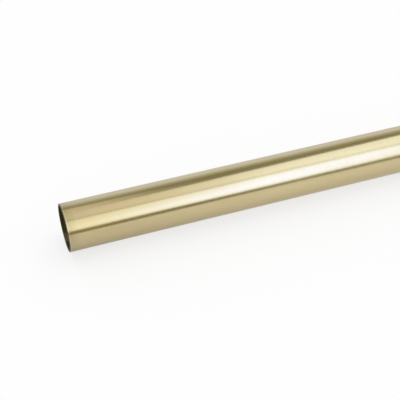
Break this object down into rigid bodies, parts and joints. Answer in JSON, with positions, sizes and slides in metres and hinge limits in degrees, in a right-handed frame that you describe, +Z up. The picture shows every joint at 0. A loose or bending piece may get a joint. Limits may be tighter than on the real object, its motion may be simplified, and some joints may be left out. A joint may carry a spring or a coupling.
{
  "type": "stainless steel tube",
  "caption": "Round thin-walled tube, open at both square-cut ends, for rails, rods and light frames.",
  "frame": {"origin": "on the floor that the tube lies on, under the middle of its length", "axes": "+X along the tube, +Z up, and +Y to the side, away from the picture's viewer"},
  "size_m": [1, 0.038, 0.0381],
  "materials": {
    "satin_brass_finish": "satin, coated in a pale brass colour over stainless steel"
  },
  "bodies": {
    "root": {"tube": "satin_brass_finish"}
  },
  "joints": []
}
